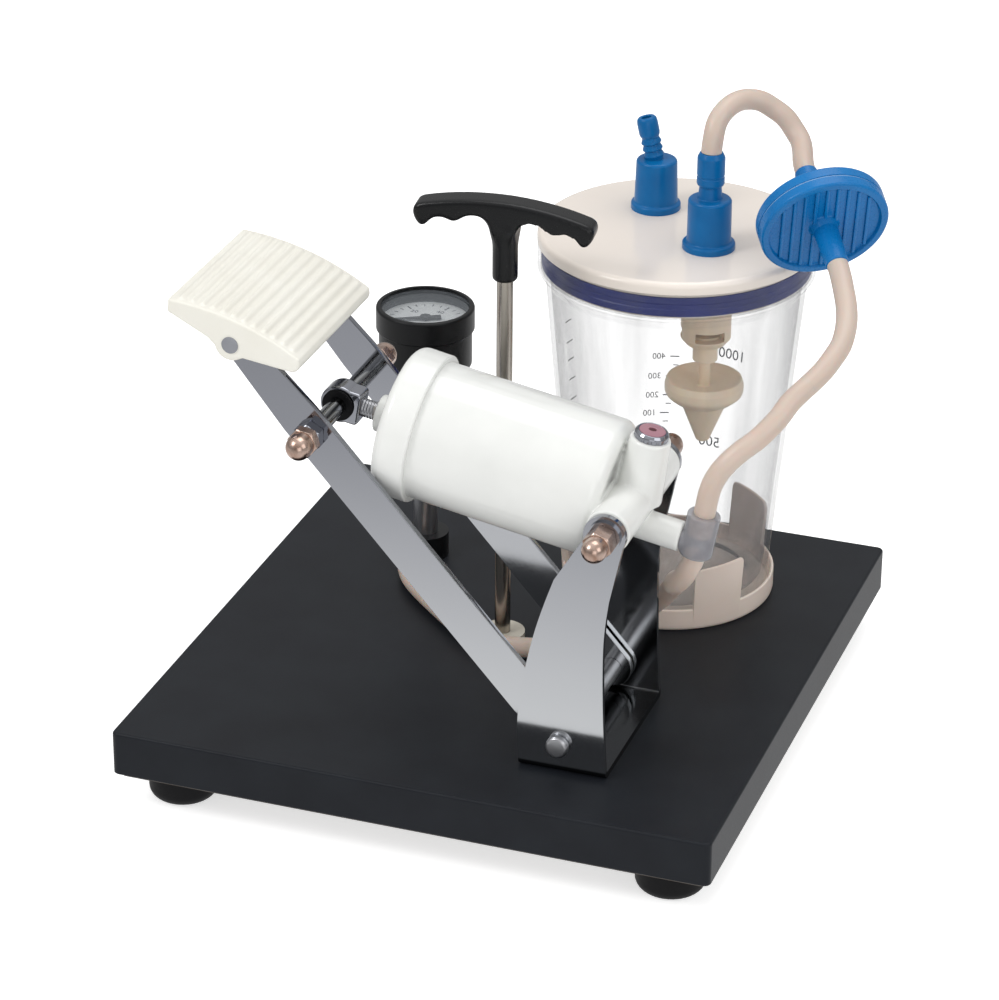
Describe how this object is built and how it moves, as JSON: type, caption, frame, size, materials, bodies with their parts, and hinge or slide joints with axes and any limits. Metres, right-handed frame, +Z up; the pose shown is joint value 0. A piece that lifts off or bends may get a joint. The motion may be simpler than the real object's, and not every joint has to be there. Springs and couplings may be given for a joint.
{
  "type": "foot-operated medical suction pump",
  "caption": "Foot-pedal suction pump on a flat rubber-footed base, with a graduated collection jar, vacuum gauge, inline filter, hoses and carrying handle.",
  "frame": {"origin": "middle of the base's footprint, on the surface that the rubber feet stand on", "axes": "+X right, towards the jar and the pump's pivot; +Y away from the pedal lever; +Z up"},
  "size_m": [0.3378, 0.336, 0.3324],
  "materials": {
    "base_paint": "satin",
    "board": "matt",
    "rubber": "matt",
    "steel": "satin",
    "rod_steel": "bright",
    "chrome": "polished",
    "copper_nuts": "polished",
    "nylon": "satin",
    "grip_black": "semi-gloss",
    "gauge_black": "semi-gloss",
    "lens_clear": "clear",
    "dial_white": "satin",
    "needle_black": "satin",
    "holder_cream": "satin",
    "jar_clear": "clear",
    "filter_blue": "translucent",
    "membrane": "matt",
    "hose": "translucent",
    "lid_cream": "satin",
    "gasket_blue": "satin",
    "fitting_blue": "gloss",
    "pump_white": "gloss",
    "brass": "satin",
    "tee_clear": "translucent",
    "pedal_ivory": "satin"
  },
  "bodies": {
    "base": {"base_pan": "base_paint", "base_board": "board", "rubber_feet": "rubber", "foot_posts": "steel", "foot_screws": "steel", "bracket": "chrome", "panel_screws": "steel", "panel_nuts": "steel", "lever_axle": "chrome", "lever_spacer": "steel", "pump_axle": "steel", "pump_washers": "chrome", "pump_dome_nuts": "copper_nuts", "axle_washers": "nylon", "hex_nuts": "steel", "handle_rod": "rod_steel", "handle_washer": "nylon", "handle_grip": "grip_black", "gauge_foot": "gauge_black", "gauge_post": "steel", "gauge_case": "gauge_black", "gauge_bezel": "gauge_black", "gauge_lens": "lens_clear", "gauge_dial": "dial_white", "jar_holder": "holder_cream", "jar": "jar_clear", "hose_gauge": "hose"},
    "needle": {"gauge_needle": "needle_black"},
    "lid_group": {"lid": "lid_cream", "lid_gasket": "gasket_blue", "patient_nozzle": "fitting_blue", "vacuum_nozzle": "fitting_blue", "vacuum_connector": "fitting_blue", "float_cage": "lid_cream", "hose_jar": "hose", "filter_inlet_half": "filter_blue", "filter_outlet_half": "filter_blue", "filter_membrane": "membrane", "hose_pump": "hose"},
    "float_group": {"float_valve": "lid_cream"},
    "pump": {"pump_barrel": "pump_white", "pump_cap": "pump_white", "gland_bush": "brass", "pump_head": "pump_white", "exhaust_cap": "chrome", "tee": "tee_clear", "return_spring": "steel"},
    "exhaust_disc": {"exhaust_valve": "rubber"},
    "intake_disc": {"intake_valve": "rubber"},
    "rod": {"piston_rod": "rod_steel", "piston": "pump_white", "cup_seal": "rubber", "lock_nut": "steel", "rod_end": "chrome"},
    "lever": {"lever_bars": "chrome", "cross_rod": "rod_steel", "cross_nuts": "chrome", "cross_dome_nuts": "copper_nuts", "pedal_pin": "steel"},
    "pedal_group": {"pedal": "pedal_ivory"}
  },
  "joints": [
    {"name": "lever_hinge", "type": "hinge", "parent": "base", "child": "lever", "pos_m": [0.0672, -0.0804, 0.06], "axis": [0, -1, 0], "range_deg": [0, 26], "stiffness_Nm_per_rad": 4.56, "springref_deg": -57.3},
    {"name": "pump_swing", "type": "hinge", "parent": "base", "child": "pump", "pos_m": [0.0888, -0.0804, 0.18], "axis": [0, -1, 0], "range_deg": [0, 22.7], "deforming": ["hose_pump", "hose_gauge"]},
    {"name": "rod_slide", "type": "slide", "parent": "pump", "child": "rod", "axis": [-0.9842, 0, 0.1769], "range_m": [0, 0.0546], "deforming": ["return_spring"]},
    {"name": "pedal_tilt", "type": "hinge", "parent": "lever", "child": "pedal_group", "pos_m": [-0.10436, -0.0804, 0.25189], "axis": [0, -1, 0], "range_deg": [-4, 12]},
    {"name": "lid_lift", "type": "slide", "parent": "base", "child": "lid_group", "axis": [0, 0, 1], "range_m": [0, 0.036], "deforming": ["hose_pump"]},
    {"name": "float_slide", "type": "slide", "parent": "lid_group", "child": "float_group", "axis": [0, 0, 1], "range_m": [0, 0.012]},
    {"name": "gauge_needle_turn", "type": "hinge", "parent": "base", "child": "needle", "pos_m": [-0.07836, 0.07464, 0.186], "axis": [0, 0, -1], "range_deg": [0, 270], "stiffness_Nm_per_rad": 0.00104},
    {"name": "exhaust_lift", "type": "slide", "parent": "pump", "child": "exhaust_disc", "axis": [0.1769, 0, 0.9842], "range_m": [0, 0.0024]},
    {"name": "intake_lift", "type": "slide", "parent": "pump", "child": "intake_disc", "axis": [-0.9842, 0, 0.1769], "range_m": [0, 0.00108], "stiffness_N_per_m": 28.8, "springref_m": -0.0024}
  ],
  "couplings": [
    {"joint": "pump_swing", "follows": "lever_hinge", "ratio": 0.8695},
    {"joint": "rod_slide", "follows": "lever_hinge", "m_per_rad": 0.11945}
  ]
}
